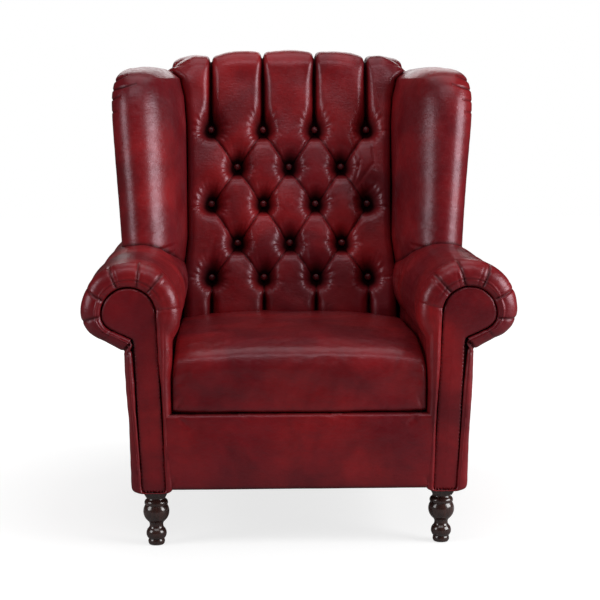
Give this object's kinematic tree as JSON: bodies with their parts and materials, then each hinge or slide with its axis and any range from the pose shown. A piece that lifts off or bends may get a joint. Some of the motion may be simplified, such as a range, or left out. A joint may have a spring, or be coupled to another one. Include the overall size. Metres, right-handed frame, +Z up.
{
  "type": "wing armchair",
  "caption": "Deep-buttoned wing armchair with scroll arms, pleated arm fronts, a plain sprung seat and turned front legs.",
  "frame": {"origin": "on the floor under the middle of the chair's bounding box", "axes": "+Z up, the seat faces -Y, +X is the sitter's left-hand side"},
  "size_m": [0.92, 0.8499, 1.067],
  "materials": {
    "leather": "waxed antique oxblood hide, semi-gloss with darker mottling",
    "button_leather": "oxblood hide drawn over button moulds, semi-gloss",
    "dark_wood": "dark mahogany stain under gloss lacquer",
    "frame_wood": "planed beech, unfinished",
    "foam": "upholstery foam and wadding",
    "steel": "zinc-plated steel",
    "webbing": "woven jute webbing",
    "dust_cloth": "black non-woven cloth",
    "glide": "hard nylon"
  },
  "bodies": {
    "root": {"arm_cover_left": "leather", "arm_cover_right": "leather", "arm_facing_left": "leather", "arm_facing_right": "leather", "arm_foam_left": "foam", "arm_foam_right": "foam", "arm_rail_left": "frame_wood", "arm_rail_right": "frame_wood", "back_buttons": "button_leather", "back_foam": "foam", "back_leg_left": "dark_wood", "back_leg_right": "dark_wood", "back_post_left": "frame_wood", "back_post_right": "frame_wood", "back_rail": "frame_wood", "back_webbing": "webbing", "corner_block_screws": "steel", "corner_blocks": "frame_wood", "dust_cover": "dust_cloth", "front_apron": "leather", "front_arm_post_left": "frame_wood", "front_arm_post_right": "frame_wood", "front_leg_left": "dark_wood", "front_leg_right": "dark_wood", "front_rail": "frame_wood", "inside_back": "leather", "leg_bolts": "steel", "leg_glides": "glide", "leg_plinth_left": "dark_wood", "leg_plinth_right": "dark_wood", "leg_tee_nuts": "steel", "lower_back_rail": "frame_wood", "outside_arm_left": "leather", "outside_arm_right": "leather", "outside_back": "leather", "seat_cover": "leather", "seat_foam": "foam", "seat_springs": "steel", "side_rail_left": "frame_wood", "side_rail_right": "frame_wood", "spring_clips": "steel", "top_back_rail": "frame_wood", "wing_cover_left": "leather", "wing_cover_right": "leather", "wing_foam_left": "foam", "wing_foam_right": "foam", "wing_frame_left": "frame_wood", "wing_frame_right": "frame_wood"}
  },
  "joints": []
}
